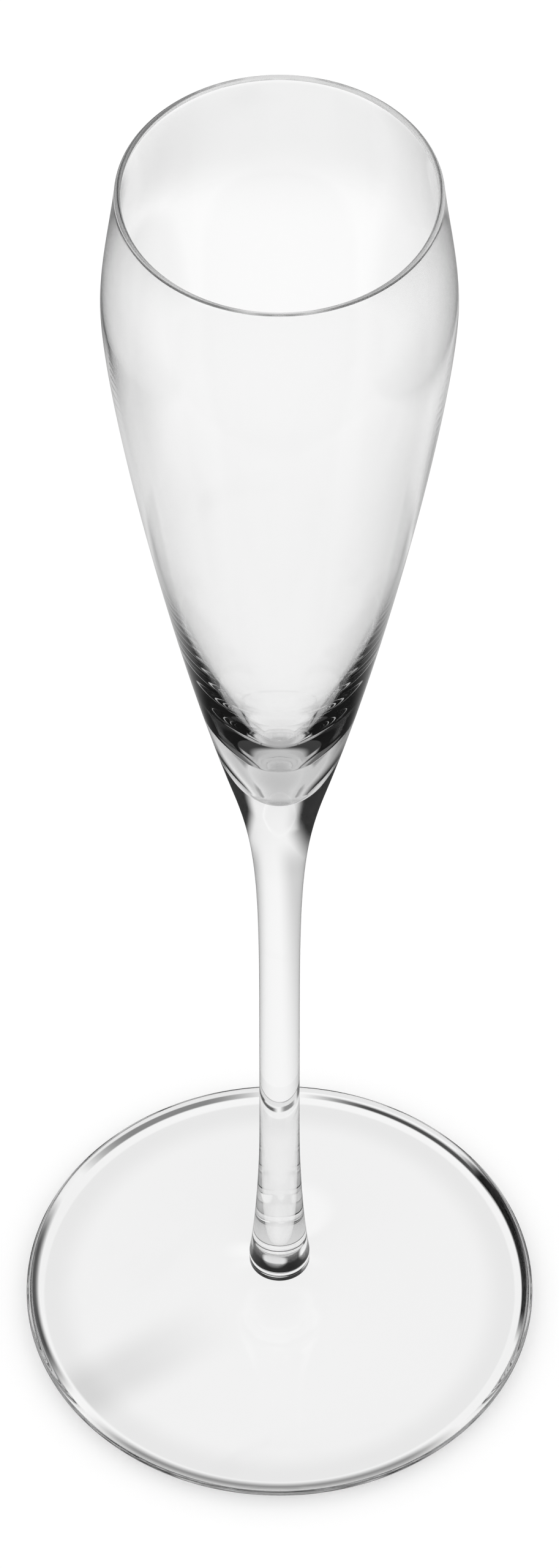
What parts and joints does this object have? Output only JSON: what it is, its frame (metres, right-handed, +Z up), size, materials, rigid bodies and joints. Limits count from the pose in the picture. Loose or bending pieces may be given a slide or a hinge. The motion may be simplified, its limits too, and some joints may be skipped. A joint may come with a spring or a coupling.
{
  "type": "champagne flute",
  "caption": "Slender clear champagne flute: tall tapering bowl with a drawn-in lip, slim solid stem and round flat foot.",
  "frame": {"origin": "centre of the foot, on the table that the glass stands on", "axes": "+Z up along the stem, from the foot to the lip; X and Y lie in the table"},
  "size_m": [0.0754, 0.0754, 0.24],
  "materials": {
    "bowl_glass": "clear, fire polished, thin blown wall",
    "stem_glass": "clear, fire polished, solid drawn rod",
    "foot_glass": "clear, fire polished, pressed disc"
  },
  "bodies": {
    "root": {"bowl": "bowl_glass", "stem": "stem_glass", "foot": "foot_glass"}
  },
  "joints": []
}
